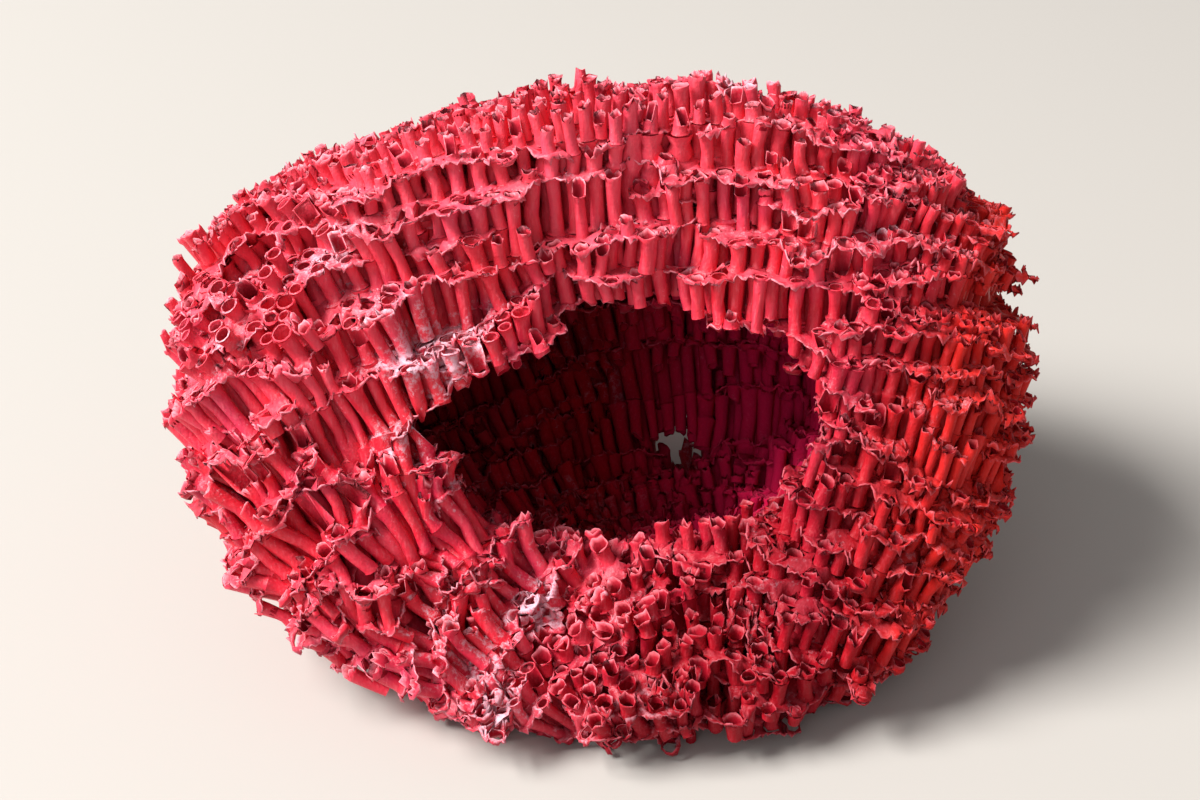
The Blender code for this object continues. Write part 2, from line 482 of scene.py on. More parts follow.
GAP_TOP = 11.6 * MM
LINTEL_MIDDLE, LINTEL_SIZE = np.array([16.0, 48.0]) * MM, np.array([12, 13]) * MM
LINTEL_SAVED = 3.5 * MM
BACK_WALL_MIDDLE, BACK_WALL_SIZE = 3 * MM, 32 * MM
BACK_WALL_SAVED = 3.6 * MM
GROOVE_DEPTH = 4.0 * MM
SILL_MIDDLE, SILL_SIZE = np.array([4, -6]) * MM, np.array([28, 12]) * MM
SILL_WEAR = 2.2 * MM
PLATE_SIZE, PLATE_SEED, PLATE_TOP = 22 * MM, 700, 80 * MM


def stub():
    """How far a pipe stands over the floor it snapped off at."""
    if luck.random() < LOW_STUB_SHARE:
        return luck.uniform(LOWEST_STUB, LOW_STUB)
    return luck.uniform(LOW_STUB, HIGH_STUB)


def loss_at(points):
    """How far the outside has worn back below the lump. It is below 0 where more is left."""
    x, y, z = points.T
    worn = WEAR + WEAR_UNEVEN * smooth_noise(points, WEAR_SIZE, WEAR_SEED)
    worn += CROWN_WEAR * ramp(z, 70 * MM, 78 * MM)
    # The wall behind the cave and the lintel over its gap are spared.
    worn -= GAP_SAVED * bump(points, GAP_MIDDLE, GAP_SIZE)
    back = ramp(y, 30 * MM, 40 * MM) * np.exp(-(((x - BACK_WALL_MIDDLE) / BACK_WALL_SIZE) ** 2))
    foot = np.where(x < 6 * MM, 4 * MM, GAP_TOP)
    worn -= BACK_WALL_SAVED * back * ramp(z, foot, foot + 2 * MM)
    lintel = bump(points[:, :2], LINTEL_MIDDLE, LINTEL_SIZE)
    lintel *= ramp(z, GAP_TOP, GAP_TOP + 1.2 * MM) * ramp(z, 36 * MM, 28 * MM)
    worn -= LINTEL_SAVED * lintel
    # The notch in the right side and the worn sill have lost more.
    groove = np.exp(-(((z - 62.4 * MM + 0.55 * y) / (2.6 * MM)) ** 2)) * ramp(x, 52 * MM, 58 * MM)
    worn += SILL_WEAR * bump(points[:, :2], SILL_MIDDLE, SILL_SIZE) * ramp(z, 32 * MM, 26 * MM)
    return worn + GROOVE_DEPTH * groove * (y > -5 * MM) * (y < 40 * MM)


def shelf_cut(step_level, points):
    """How far a shelf is cut back at some points. The level tells whether they lie over its floor."""
    cut = np.zeros(len(points))
    for middle, size, step, most in SHELVES:
        share = ramp(near_shelf(points, middle, size), 1, 2 / 3)
        cut = np.maximum(cut, most * MM * share * (step_level > step))
    return cut


def bare_plate(points):
    """Where pipes snapped flush with a floor and left it bare, with their mouths open."""
    bare = smooth_noise(points, PLATE_SIZE, PLATE_SEED) + 0.5 * unruly(points) > 1.1
    for middle, size, _, _ in SHELVES:
        bare |= near_shelf(points, middle, size) < 1
    at_sill = (points[:, 0] > -8 * MM) & (points[:, 2] < 45 * MM)
    return bare & ~at_sill & (points[:, 2] < PLATE_TOP)


levels = np.arange(0, FLOORS * FLOOR_SPACING, SAMPLE)
grid_pipe = np.repeat(np.arange(pipe_count), len(levels))
grid_level = np.tile(levels, pipe_count)
grid_spot = path(grid_pipe, grid_level)
grid_depth = depth(grid_spot)
wear = loss_at(grid_spot)
loss = wear + 0.3 * MM * luck.normal(size=pipe_count)[grid_pipe]
over_floor = np.zeros(len(grid_spot))
for _, _, step, _ in SHELVES:
    over = grid_level > passing[grid_pipe, step] + 0.1 * MM
    over_floor = np.maximum(over_floor, np.where(over, step + 0.5, 0))
loss += shelf_cut(over_floor, grid_spot)
alive = grid_level >= passing[grid_pipe, 2 * pipe_first[grid_pipe]]
alive &= grid_level <= passing[grid_pipe, 2 * pipe_last[grid_pipe]]
kept = ((grid_depth > loss) & (grid_spot[:, 2] > 0) & alive).reshape(pipe_count, -1)
depth_table = grid_depth.reshape(pipe_count, -1)
wear_table = wear.reshape(pipe_count, -1)
plate_table = bare_plate(grid_spot).reshape(pipe_count, -1)
height_table = grid_spot[:, 2].reshape(pipe_count, -1)


def depth_at(pipe, level):
    return np.interp(level, levels, depth_table[pipe])


def height_at(pipe, level):
    return np.interp(level, levels, height_table[pipe])


lengths = []
for pipe in range(pipe_count):
    row = kept[pipe]
    if not row.any():
        continue
    change = np.flatnonzero(np.diff(np.concatenate([[0], row.astype(int), [0]])))
    marks = passing[pipe][np.isfinite(passing[pipe])]
    for start, stop in zip(change[::2], change[1::2]):
        bottom, top = levels[start], levels[stop - 1] + SAMPLE / 2
        grounded = height_table[pipe, start] < 1.5 * MM
        born = abs(bottom - passing[pipe, 2 * pipe_first[pipe]]) < 1.2 * SAMPLE
        plate = plate_table[pipe, stop - 1]
        spared = wear_table[pipe, stop - 1] < -0.3 * MM
        # The top snaps to the floor over it or the one under it, when that is near enough.
        under = marks[marks <= top].max(initial=0.0)
        over = marks[marks > top].min(initial=1.0)
        steep = (depth_at(pipe, top - 2 * MM) - depth_at(pipe, top)) / (2 * MM) > STEEP
        steep = steep or height_at(pipe, top) > CROWN
        reach = 1.1 * MM if spared or steep and not plate else 0.8 * FLOOR_SPACING
        if luck.random() < SNAP_SHARE:
            room = STEEP_SNAP_ROOM if steep else SNAP_ROOM
            if over - top < min(reach, 0.55 * FLOOR_SPACING) and depth_at(pipe, over) > -room:
                top = over + stub()
            elif top - under < reach and under - bottom > 1.5 * MM:
                top = under + stub()
        hanging = not grounded and not born and not spared
        if hanging and luck.random() < HANGING_SNAP_SHARE and height_table[pipe, start] > 20 * MM:
            above = marks[marks >= bottom].min(initial=1.0)
            if above - bottom < 0.5 * FLOOR_SPACING and top - above > 3 * MM:
                bottom = above - stub()
        if top - bottom < SHORTEST:
            continue
        floors_met = ((marks > bottom + 0.1 * MM) & (marks < top)).any()
        held = floors_met or born or grounded or top - bottom > 5 * MM
        if not held or depth_table[pipe, start:stop].max() < 0.3 * MM:
            continue
        proud = top - marks[marks <= top].max(initial=-1.0)
        flush = plate and 0 <= proud < LOW_STUB + 0.4 * MM
        lengths.append((pipe, bottom, top, grounded, born, flush))

# Chains of rings along the pipes, sorted by how closely they are seen.
chains = {"ends": [], "collars": [], "outer": [], "inner": [], "deep": []}
open_chains = {}
ALL_ROUND = (-1.0, 1.0)
WALL = 0.24 * MM
LIP = 0.22 * MM
FOOT_STEP = 0.4 * MM
FLARE_STEPS = (1.2 * MM, 0.4 * MM)
# The ways a pipe breaks: how far its wall is bitten away and how jagged its edge is, in mm, and
# from where to where across it, from its back at -1 to its face at 1, the bite deepens. A split's
# bite is a share of the pipe's length.
BREAKS = {
    "split": ((0.55, 0.95), (0.25, 0.7), (-0.35, 0.35)),
    "flush": ((0.0, 0.5), (0.12, 0.42), ALL_ROUND),
    "clean": ((0.0, 0.5), (0.35, 1.0), ALL_ROUND),
    "notched": ((0.8, 3.2), (0.3, 0.8), (-0.3, 0.4)),
    "slanted": ((0.5, 1.6), (0.3, 0.7), (-0.8, 0.9)),
}
CLEAN_SHARE, NOTCHED_SHARE = 0.62, 0.18
HIGH_UP = 68 * MM
HIGH_UP_JAG = 0.65


def ring(pipe, level, swell=1.0, cut=0.0, jag=0.0, rim=0.0, inside=0.0, sides=ALL_ROUND):
    return (pipe, level, swell, cut, jag, rim, inside, *sides)


def make_end(pipe, bottom, top, split=False, flush=False):
    """A length that ends open at the top, with its lining, or split open down its face."""
    length = top - bottom
    luck_of_break = luck.random()
    if split or flush:
        way = "split" if split else "flush"
    elif luck_of_break < CLEAN_SHARE:
        way = "clean"
    else:
        way = "notched" if luck_of_break < CLEAN_SHARE + NOTCHED_SHARE else "slanted"
    bites, jags, sides = BREAKS[way]
    bite = min(luck.uniform(*bites) * (length if split else MM), 0.85 * length)
    jag = min(luck.uniform(*jags) * MM, 0.5 * length)
    if height_at(pipe, top) > HIGH_UP:
        jag *= HIGH_UP_JAG
    flare = luck.uniform(0.96, 1.1)
    reach = min(max(bite * 1.2, 0.9 * MM), length * 0.96)
    lip = min(LIP, 0.3 * length)
    rows = [ring(pipe, bottom, sides=sides)]
    spare = length - reach
    if spare > FOOT_STEP + 0.2 * MM:
        rows.append(ring(pipe, bottom + FOOT_STEP, sides=sides))
    if spare > 3.0 * MM:
        rows.append(ring(pipe, (bottom + top - reach) / 2, 0.98, sides=sides))
    if spare > 0.6 * MM:
        rows.append(ring(pipe, top - reach, 0.98, sides=sides))
    if reach > 1.6 * MM:
        rows.append(ring(pipe, top - reach / 2, (1 + flare) / 2, bite * 0.5, jag * 0.2, sides=sides))
    rows.append(ring(pipe, top - lip, flare, bite * (1 - lip / reach), jag * 0.7, sides=sides))
    rows.append(ring(pipe, top, flare, bite, jag, 1, sides=sides))
    chains["ends"].append(rows)
    wall = WALL / pipe_radius[pipe]
    deep = min(max(bite + 1.6 * MM, 2.2 * MM), length * 0.98)
    within = 0.6 if split else 1.0
    lining = [ring(pipe, top - deep, 1 - wall, inside=within, sides=sides)]
    if split or bite > 1.5 * MM:
        lining.append(ring(pipe, top - reach * 0.5, flare - wall, bite * 0.5, jag * 0.2, 0, within, sides))
    lining.append(ring(pipe, top, flare, bite, jag, 1, within, sides))
    chains["ends"].append(lining)


def make_hanging(pipe, bottom, top):
    """A length whose lower end is snapped off."""
    length = top - bottom
    bite = min(luck.uniform(0.1, 2.2) * MM, 0.6 * length)
    jag = luck.uniform(0.2, 0.5) * MM
    lip = min(LIP, 0.3 * length)
    reach = min(bite + 0.6 * MM, 0.8 * length)
    wall = WALL / pipe_radius[pipe]
    share = 1 - lip / reach
    chains["ends"].append([
        ring(pipe, bottom, 1.0, -bite, jag, 1),
        ring(pipe, bottom + lip, 1.0, -bite * share, jag * 0.7),
        ring(pipe, bottom + reach),
        ring(pipe, max(top - FOOT_STEP, bottom + reach + 0.05 * MM)),
        ring(pipe, max(top, bottom + reach + 0.1 * MM)),
    ])
    chains["ends"].append([
        ring(pipe, bottom, 1.0, -bite, jag, 1, 1),
        ring(pipe, bottom + lip, 1.0 - wall, -bite * share, jag * 0.7, 0, 1),
        ring(pipe, min(bottom + max(2.5 * MM, reach), top), 1.0 - wall, inside=1),
    ])


def make_whole(pipe, bottom, top, kind):
    """Whole pipe between floors. It joins the length below when that is seen as closely."""
    length = top - bottom
    stops = [0.0, length]
    swell = WHOLE_SWELL[kind]
    if kind == "outer":
        # The rings lie close together by the floors, where the pipe flares.
        swell += BACK_SWELL * at_back[pipe]
        stops = [0.0, min(FOOT_STEP, length * 0.3)]
        if length > 4.0 * MM:
            stops.append(length / 2)
        stops += [length - step for step in FLARE_STEPS if step < length * 0.45] + [length]
    elif kind == "inner":
        stops = [0.0, length / 2, length]
    rows = [ring(pipe, bottom + stop, swell) for stop in stops]
    chain = open_chains.get((pipe, kind))
    if chain and abs(chain[-1][1] - bottom) < 0.01 * MM:
        chain.extend(rows[1:])
    else:
        open_chains[(pipe, kind)] = rows
        chains[kind].append(rows)


floor_pipes = {step: [] for step in range(STEPS + 1)}
STUB_JOIN = 1.4 * MM
SPLIT_SHARE, UNRULY_SPLIT_SHARE = 0.13, 0.2
SPLIT_DEPTH = 1.9 * MM
SEEN_OUTER, SEEN_INNER, SEEN_DEEP = 3.6 * MM, 7.0 * MM, 14.0 * MM
BASE_BAND = 5 * MM
# Pipes that are hardly seen are drawn wider, so that the light doesn't leak between them.
WHOLE_SWELL = {"outer": 1.0, "inner": 1.3, "deep": 1.5}
BACK_SWELL = 0.25
every_pipe = np.arange(pipe_count)
wild = unruly(path(every_pipe, np.full(pipe_count, 25 * MM)))
half_way = path(every_pipe, np.full(pipe_count, 38 * MM))
at_back = (half_way[:, 1] > 34 * MM) & (np.abs(half_way[:, 0]) < 32 * MM)
for pipe, bottom, top, grounded, born, flush in lengths:
    marks = passing[pipe]
    for step, mark in enumerate(marks):
        if bottom - 0.3 * MM <= mark <= top + 0.1 * MM and step >= 2 * pipe_first[pipe]:
            floor_pipes[step].append(pipe)
    stops = [m for m in marks if bottom + 0.3 * MM < m < top - 0.05 * MM]
    if stops and not flush and top - stops[-1] < STUB_JOIN:
        stops.pop()
    hanging = not grounded and not born
    if len(stops) > 1 and hanging and stops[0] - bottom < STUB_JOIN:
        stops.pop(0)
    cuts = [bottom] + stops + [top]
    for n, (a, b) in enumerate(zip(cuts, cuts[1:])):
        shallow = min(depth_at(pipe, a), depth_at(pipe, (a + b) / 2), depth_at(pipe, b))
        split_share = SPLIT_SHARE + UNRULY_SPLIT_SHARE * wild[pipe]
        if n == len(cuts) - 2:
            make_end(pipe, a, b, flush=flush)
        elif n == 0 and hanging:
            make_hanging(pipe, a, b)
        elif shallow < SPLIT_DEPTH and luck.random() < split_share and b - a > 3 * MM:
            make_end(pipe, a, b, split=True)
        elif shallow < SEEN_OUTER:
            make_whole(pipe, a, b, "outer")
        elif shallow < SEEN_INNER:
            make_whole(pipe, a, b, "inner")
        elif shallow < SEEN_DEEP or height_at(pipe, a) < BASE_BAND:
            make_whole(pipe, a, b, "deep")

# Where a floor stands out past the pipes that are left, it still holds the collars of lost ones.
COLLAR_ROOM = 2.0 * MM
COLLAR_SHARE = 0.85
COLLAR_GAP = 2.9 * MM
kept_there = {step: set(some) for step, some in floor_pipes.items()}
for step in range(1, STEPS + 1):
    if len(kept_there[step]) < 3:
        continue
    able = np.isfinite(passing[:, step]) & (2 * pipe_first < step) & (2 * pipe_last >= step)
    pipes = np.array([n for n in np.flatnonzero(able) if n not in kept_there[step]], dtype=int)
    marks = passing[pipes, step]
    spots = path(pipes, marks)
    square_on = (outward(spots) * path_way(pipes, marks)).sum(axis=1)
    fit = (depth(spots) > loss_at(spots) - COLLAR_ROOM) & (square_on < 0.62) & (spots[:, 2] > 2 * MM)
    fit &= luck.random(len(pipes)) < COLLAR_SHARE
    others = np.array(sorted(kept_there[step]))
    others = path(others, passing[others, step])
    for pipe, mark, spot in zip(pipes[fit], marks[fit], spots[fit]):
        if np.linalg.norm(others - spot, axis=1).min() > COLLAR_GAP:
            continue
        floor_pipes[step].append(pipe)
        bottom = mark - luck.uniform(0.3, 1.1) * MM
        top = mark + luck.uniform(0.1, 0.9) * MM
        jag = luck.uniform(0.2, 0.6) * MM
        bite = luck.uniform(0, 0.8) * MM
        for thin, inside in ((0.0, 0), (WALL / pipe_radius[pipe], 1)):
            chains["collars"].append([
                ring(pipe, bottom, jag=jag, rim=1, inside=inside),
                ring(pipe, mark - 0.1 * MM, 1 - thin, inside=inside),
                ring(pipe, top, 1.05, bite, jag, 1, inside),
            ])

# --- Pipes ------------------------------------------------------------------------------------
# The pipes are thin red calcite, about 2 mm across, with walls a quarter of a millimetre thick.
# Broken ends are jagged and paler, and the wall shows its thickness there.
CUP, CUP_REACH = 0.55, 1.0 * MM  # how much wider a pipe gets just under a floor, and how fast
BROKEN_CUPS = {"ends": 0.6}  # broken ends have lost the rest of theirs
COLLET, COLLET_REACH = 0.24, 0.4 * MM  # the same just over it
SIDES = {"ends": 10, "collars": 9, "outer": 8, "inner": 7, "deep": 5}
LUMP_SIZE = 1.6 * MM
LUMPS = {"ends": 0.22 * MM, "collars": 0.3 * MM, "outer": 0.22 * MM, "inner": 0.1 * MM, "deep": 0.0}
PIECES = {"ends": 3, "collars": 1, "outer": 2, "inner": 1, "deep": 1}
WELD = 0.004 * MM
FACING_SPREAD = 0.4
# What shapes a ring. These values are only needed until the walls are made.
RING_VALUES = {"middle": "FLOAT_VECTOR", "along": "FLOAT_VECTOR", "facing": "FLOAT_VECTOR",
               "round": "FLOAT_VECTOR", "girth": "FLOAT", "low_side": "FLOAT", "high_side": "FLOAT",
               "cut": "FLOAT", "jag": "FLOAT", "inside": "FLOAT"}
CAVE_MIDDLE = np.array([3.5, 12.0, 35.0]) * MM
CAVE_HALF = np.array([43.5, 42.0, 27.5]) * MM
CAVE_DROP = 0.35
# Some of these colours are painted light and shade: the "shaded" red and the far orange are painted shade low
# on the right, the upper red is painted light at the top left, the lining red is painted shade inside the
# pipe mouths, and the cave red and purple are painted shade in the cave and on its sill.
PIPE_REDS = {"plain": "D01731", "light": "EA3E56", "deep": "D81A2C", "purplish": "B62050",
             "shaded": "8A0816", "streak": "F0707E", "broken": "F29CAA"}
TOP_PAINTED_LIGHT_RED, SPECK_PINK, LINING_SHADE_RED = "F05C6E", "F4B8C4", "86101F"
FAR_PAINTED_SHADE_ORANGE = "D02818"
CAVE_SHADE_RED, CAVE_SHADE_PURPLE = "860512", "D81C56"
DUST_COLOUR = "DCC0D0"
# Where pale dust has settled: middle and size in mm, and how thickly.
DUST_SPOTS = (
    ((-30, -4, 58), 8, 1.3), ((-24, -4, 55), 5, 1.1), ((-9, -21, 20), 5, 1.6), ((-15, -35, 10), 8, 1.1),
    ((-6, -35, 4), 7, 1.0), ((-21, -32, 13), 6, 0.7), ((-55, 2, 63), 9, 0.55), ((-42, 4, 69), 6, 0.5),
    ((-33, -11, 45), 5, 0.9), ((-44, -8, 51), 4, 0.6), ((12, 5, 66), 4, 0.6), ((-8, 8, 76), 4, 0.5),
    ((40, 6, 70), 4, 0.5), ((62, 5, 40), 4, 0.4),
)


def pipe_tree():
    """Rings along each chain become a pipe wall. All that shapes a ring is stored on the chain."""
    tree = bpy.data.node_groups.new("pipe_walls", "GeometryNodeTree")
    for name, kind in (("Geometry", "Geometry"), ("Sides", "Int"), ("Unevenness", "Float"),
                       ("Lump size", "Float"), ("Finish", "Material")):
        tree.interface.new_socket(name, in_out="INPUT", socket_type=f"NodeSocket{kind}")
    tree.interface.new_socket("Geometry", in_out="OUTPUT", socket_type="NodeSocketGeometry")
    given = add(tree, "NodeGroupInput").outputs
    stored = {}
    for key, kind in {**RING_VALUES, "seed": "FLOAT"}.items():
        stored[key] = add(tree, "GeometryNodeInputNamedAttribute", {"Name": key}, data_type=kind)

    # A circle is swept along each chain. Both keep their own places as attributes.
    place = add(tree, "GeometryNodeInputPosition")
    curve = add(tree, "GeometryNodeMeshToCurve", {"Mesh": given["Geometry"]})
    circle = add(tree, "GeometryNodeCurvePrimitiveCircle", {"Resolution": given["Sides"], "Radius": 1.0})
    rail = add(tree, "GeometryNodeStoreNamedAttribute", {"Geometry": curve, "Name": "middle", "Value": place},
               data_type="FLOAT_VECTOR", domain="POINT")
    profile = add(tree, "GeometryNodeStoreNamedAttribute",
                  {"Geometry": circle, "Name": "round", "Value": place},
                  data_type="FLOAT_VECTOR", domain="POINT")
    swept = add(tree, "GeometryNodeCurveToMesh", {"Curve": rail, "Profile Curve": profile})

    # The spoke points from the pipe's middle to the wall. Its front faces out of the colony.
    facing, along = stored["facing"], stored["along"]
    lean = add(tree, "ShaderNodeVectorMath", {0: facing, 1: along}, operation="DOT_PRODUCT").outputs["Value"]
    sheer = add(tree, "ShaderNodeVectorMath", {0: along, "Scale": lean}, operation="SCALE")
    square = add(tree, "ShaderNodeVectorMath", {0: facing, 1: sheer}, operation="SUBTRACT")
    front = add(tree, "ShaderNodeVectorMath", {0: square}, operation="NORMALIZE")
    side = add(tree, "ShaderNodeVectorMath", {0: along, 1: front}, operation="CROSS_PRODUCT")
    turn = add(tree, "ShaderNodeSeparateXYZ", {0: stored["round"]}).outputs
    forwards = add(tree, "ShaderNodeVectorMath", {0: front, "Scale": turn["X"]}, operation="SCALE")
    sideways = add(tree, "ShaderNodeVectorMath", {0: side, "Scale": turn["Y"]}, operation="SCALE")
    spoke = add(tree, "ShaderNodeVectorMath", {0: forwards, 1: sideways}, operation="ADD")

    # The wall is lumpy.
    girth = stored["girth"]
    rough = add(tree, "ShaderNodeVectorMath", {0: spoke, "Scale": girth}, operation="SCALE")
    rough = add(tree, "ShaderNodeVectorMath", {0: stored["middle"], 1: rough}, operation="ADD")
    fineness = add(tree, "ShaderNodeMath", {0: 1.0, 1: given["Lump size"]}, operation="DIVIDE")
    lumps = add(tree, "ShaderNodeTexNoise", {"Vector": rough, "Scale": fineness, "Detail": 1.0})
    lumps = add(tree, "ShaderNodeMath", {0: lumps, 1: 0.5}, operation="SUBTRACT")
    bulge = add(tree, "ShaderNodeMath", {0: lumps, 1: given["Unevenness"]}, operation="MULTIPLY")
    radius = add(tree, "ShaderNodeMath", {0: girth, 1: bulge}, operation="ADD")

    # A bite out of its face and a jagged edge move the wall back along the pipe.
    face = add(tree, "ShaderNodeMapRange",
               {"Value": turn["X"], 1: stored["low_side"], 2: stored["high_side"]},
               interpolation_type="SMOOTHSTEP")
    bite = add(tree, "ShaderNodeMath", {0: stored["cut"], 1: face}, operation="MULTIPLY")
    offset = add(tree, "ShaderNodeMath", {0: stored["seed"], 1: 900.0}, operation="MULTIPLY")
    offset = add(tree, "ShaderNodeVectorMath", {0: along, "Scale": offset}, operation="SCALE")
    shards = add(tree, "ShaderNodeVectorMath", {0: stored["round"], "Scale": 2.6}, operation="SCALE")
    shards = add(tree, "ShaderNodeVectorMath", {0: shards, 1: offset}, operation="ADD")
    shards = add(tree, "ShaderNodeTexNoise",
                 {"Vector": shards, "Scale": 1.0, "Detail": 2.0, "Roughness": 0.8})
    shards = add(tree, "ShaderNodeMath", {0: shards, 1: 0.5}, operation="SUBTRACT")
    jag = add(tree, "ShaderNodeMath", {0: stored["jag"], 1: 8.0}, operation="MULTIPLY")
    jag = add(tree, "ShaderNodeMath", {0: shards, 1: jag}, operation="MULTIPLY")
    back = add(tree, "ShaderNodeMath", {0: bite, 1: jag}, operation="ADD")
    back = add(tree, "ShaderNodeVectorMath", {0: along, "Scale": back}, operation="SCALE")
    spot = add(tree, "ShaderNodeVectorMath", {0: spoke, "Scale": radius}, operation="SCALE")
    spot = add(tree, "ShaderNodeVectorMath", {0: stored["middle"], 1: spot}, operation="ADD")
    spot = add(tree, "ShaderNodeVectorMath", {0: spot, 1: back}, operation="SUBTRACT")
    # Nothing reaches below the cut.
    spot = add(tree, "ShaderNodeVectorMath", {0: spot, 1: (-1.0, -1.0, 0.0)}, operation="MAXIMUM")
    shaped = add(tree, "GeometryNodeSetPosition", {"Geometry": swept, "Position": spot})

    # Linings face the other way.
    lining = add(tree, "ShaderNodeMath", {0: stored["inside"], 1: 0.5}, operation="GREATER_THAN")
    parted = add(tree, "GeometryNodeSeparateGeometry", {"Geometry": shaped, "Selection": lining},
                 domain="FACE")
    turned = add(tree, "GeometryNodeFlipFaces", {"Mesh": parted.outputs["Selection"]})
    both = add(tree, "GeometryNodeJoinGeometry", {0: parted.outputs["Inverted"]})
    tree.links.new(turned.outputs[0], both.inputs[0])
    welded = add(tree, "GeometryNodeMergeByDistance", {"Geometry": both, "Distance": WELD})
    smooth = add(tree, "GeometryNodeSetShadeSmooth", {"Geometry": welded, "Shade Smooth": True})
    real = add(tree, "GeometryNodeRealizeInstances", {"Geometry": smooth})
    dressed = add(tree, "GeometryNodeSetMaterial", {"Geometry": real, "Material": given["Finish"]})
    add(tree, "NodeGroupOutput", {0: dressed})
    return tree


def red_calcite_with_painted_light(name, reds):
    """Calcite that grew red right through: matt, a little waxy, and paler where it is broken.

    To the eye it is a mottled pinkish red, with fine streaks along the pipes, and pale dust lies
    on what faces up. Light and shade are painted into it too: painted light makes the top left
    lighter, and painted shade darkens it to crimson low on the right, inside the pipe mouths, and
    to purple in the cave and on its sill, where it also takes the gloss away.
    """
    material, output = new_material(name)
    tree = material.node_tree
    stored = {}
    for key in ("seed", "rim", "hollow", "within", "dust"):
        stored[key] = add(tree, "ShaderNodeAttribute", attribute_name=key).outputs["Fac"]
    place = add(tree, "ShaderNodeTexCoord").outputs["Object"]
    axes = add(tree, "ShaderNodeSeparateXYZ", {0: place}).outputs
    normal = add(tree, "ShaderNodeNewGeometry").outputs["Normal"]
    facing_up = add(tree, "ShaderNodeSeparateXYZ", {0: normal}).outputs["Z"]
    tall = add(tree, "ShaderNodeVectorMath", {0: place, 1: (1, 1, 0.2)}, operation="MULTIPLY")
    # Each pattern's size is in mm. The growth lines are finer on the real pipes than half a
    # millimetre, but would not show.
    noise = {}
    for key, size, detail, roughness, at in (
        ("streaks", 0.5, 3.0, 0.6, tall), ("mottle", 2.5, 4.0, 0.65, place), ("regions", 30, 2.0, 0.5, place),
        ("patches", 9, 3.0, 0.5, place), ("worn spots", 5, 3.0, 0.7, place), ("specks", 0.6, 2.0, 0.7, place),
        ("drifts", 14, 3.0, 0.5, place), ("crumbs", 1.3, 4.0, 0.8, place), ("grain", 0.5, 3.0, 0.5, place),
    ):
        noise[key] = add(tree, "ShaderNodeTexNoise",
                         {"Vector": at, "Scale": 1 / (size * MM), "Detail": detail, "Roughness": roughness})

    # Painted light makes the red lighter towards the top left, and painted shade makes it darker
    # low on the right, going orange at the far right.
    mottle = add(tree, "ShaderNodeMath", {0: stored["seed"], 1: 0.55, 2: noise["mottle"]},
                 operation="MULTIPLY_ADD")
    mottle = add(tree, "ShaderNodeMapRange", {"Value": mottle, 1: 0.42, 2: 1.1})
    regions = add(tree, "ShaderNodeMapRange", {"Value": noise["regions"], 1: 0.42, 2: 0.68})
    patches = add(tree, "ShaderNodeMapRange", {"Value": noise["patches"], 1: 0.5, 2: 0.75, 4: 0.6})
    upper = add(tree, "ShaderNodeMath", {0: axes["X"], 1: -0.25, 2: axes["Z"]}, operation="MULTIPLY_ADD")
    upper = add(tree, "ShaderNodeMapRange", {"Value": upper, 1: 48 * MM, 2: 92 * MM, 4: 0.4})
    low_right = add(tree, "ShaderNodeMath", {0: axes["X"], 1: axes["Z"]}, operation="SUBTRACT")
    shaded = add(tree, "ShaderNodeMapRange", {"Value": low_right, 1: -30 * MM, 2: -2 * MM, 4: 0.85})
    outside_painted_shade = add(tree, "ShaderNodeMapRange", {"Value": low_right, 1: -30 * MM, 2: -2 * MM, 3: 1.0, 4: 0.35})
    far = add(tree, "ShaderNodeMapRange", {"Value": axes["X"], 1: 36 * MM, 2: 62 * MM})
    far = add(tree, "ShaderNodeMix", {0: far, 6: linear(reds["shaded"]), 7: linear(FAR_PAINTED_SHADE_ORANGE)},
              data_type="RGBA")

    # Streaks, specks, pale broken rims and dust all fade where the painted shade darkens the red.
    streaks = add(tree, "ShaderNodeMapRange", {"Value": noise["streaks"], 1: 0.5, 2: 0.8, 4: 0.5})
    streaks = add(tree, "ShaderNodeMath", {0: streaks, 1: outside_painted_shade}, operation="MULTIPLY")
    worn = add(tree, "ShaderNodeMapRange", {"Value": noise["worn spots"], 1: 0.5, 2: 0.7, 4: 0.6})
    worn = add(tree, "ShaderNodeMath", {0: worn, 1: outside_painted_shade}, operation="MULTIPLY")
    specks = add(tree, "ShaderNodeMapRange", {"Value": noise["specks"], 1: 0.62, 2: 0.74})
    specks = add(tree, "ShaderNodeMath", {0: specks, 1: worn}, operation="MULTIPLY")
    broken = add(tree, "ShaderNodeMath", {0: stored["rim"], 1: 3.0}, operation="POWER")
    broken = add(tree, "ShaderNodeMath", {0: broken, 1: 0.65}, operation="MULTIPLY")
    broken = add(tree, "ShaderNodeMath", {0: broken, 1: outside_painted_shade}, operation="MULTIPLY")
    heap = add(tree, "ShaderNodeMapRange", {"Value": facing_up, 1: -0.2, 2: 0.9, 4: 0.25})
    heap = add(tree, "ShaderNodeMath", {0: noise["crumbs"], 1: 1.4, 2: heap}, operation="MULTIPLY_ADD")
    heap = add(tree, "ShaderNodeMath", {0: stored["dust"], 1: 0.34, 2: heap}, operation="MULTIPLY_ADD")
    heap = add(tree, "ShaderNodeMath", {0: noise["drifts"], 1: heap}, operation="ADD")
    dusty = add(tree, "ShaderNodeMapRange", {"Value": heap, 1: 1.56, 2: 1.82, 4: 0.7})
    dusty = add(tree, "ShaderNodeMath", {0: dusty, 1: outside_painted_shade}, operation="MULTIPLY")

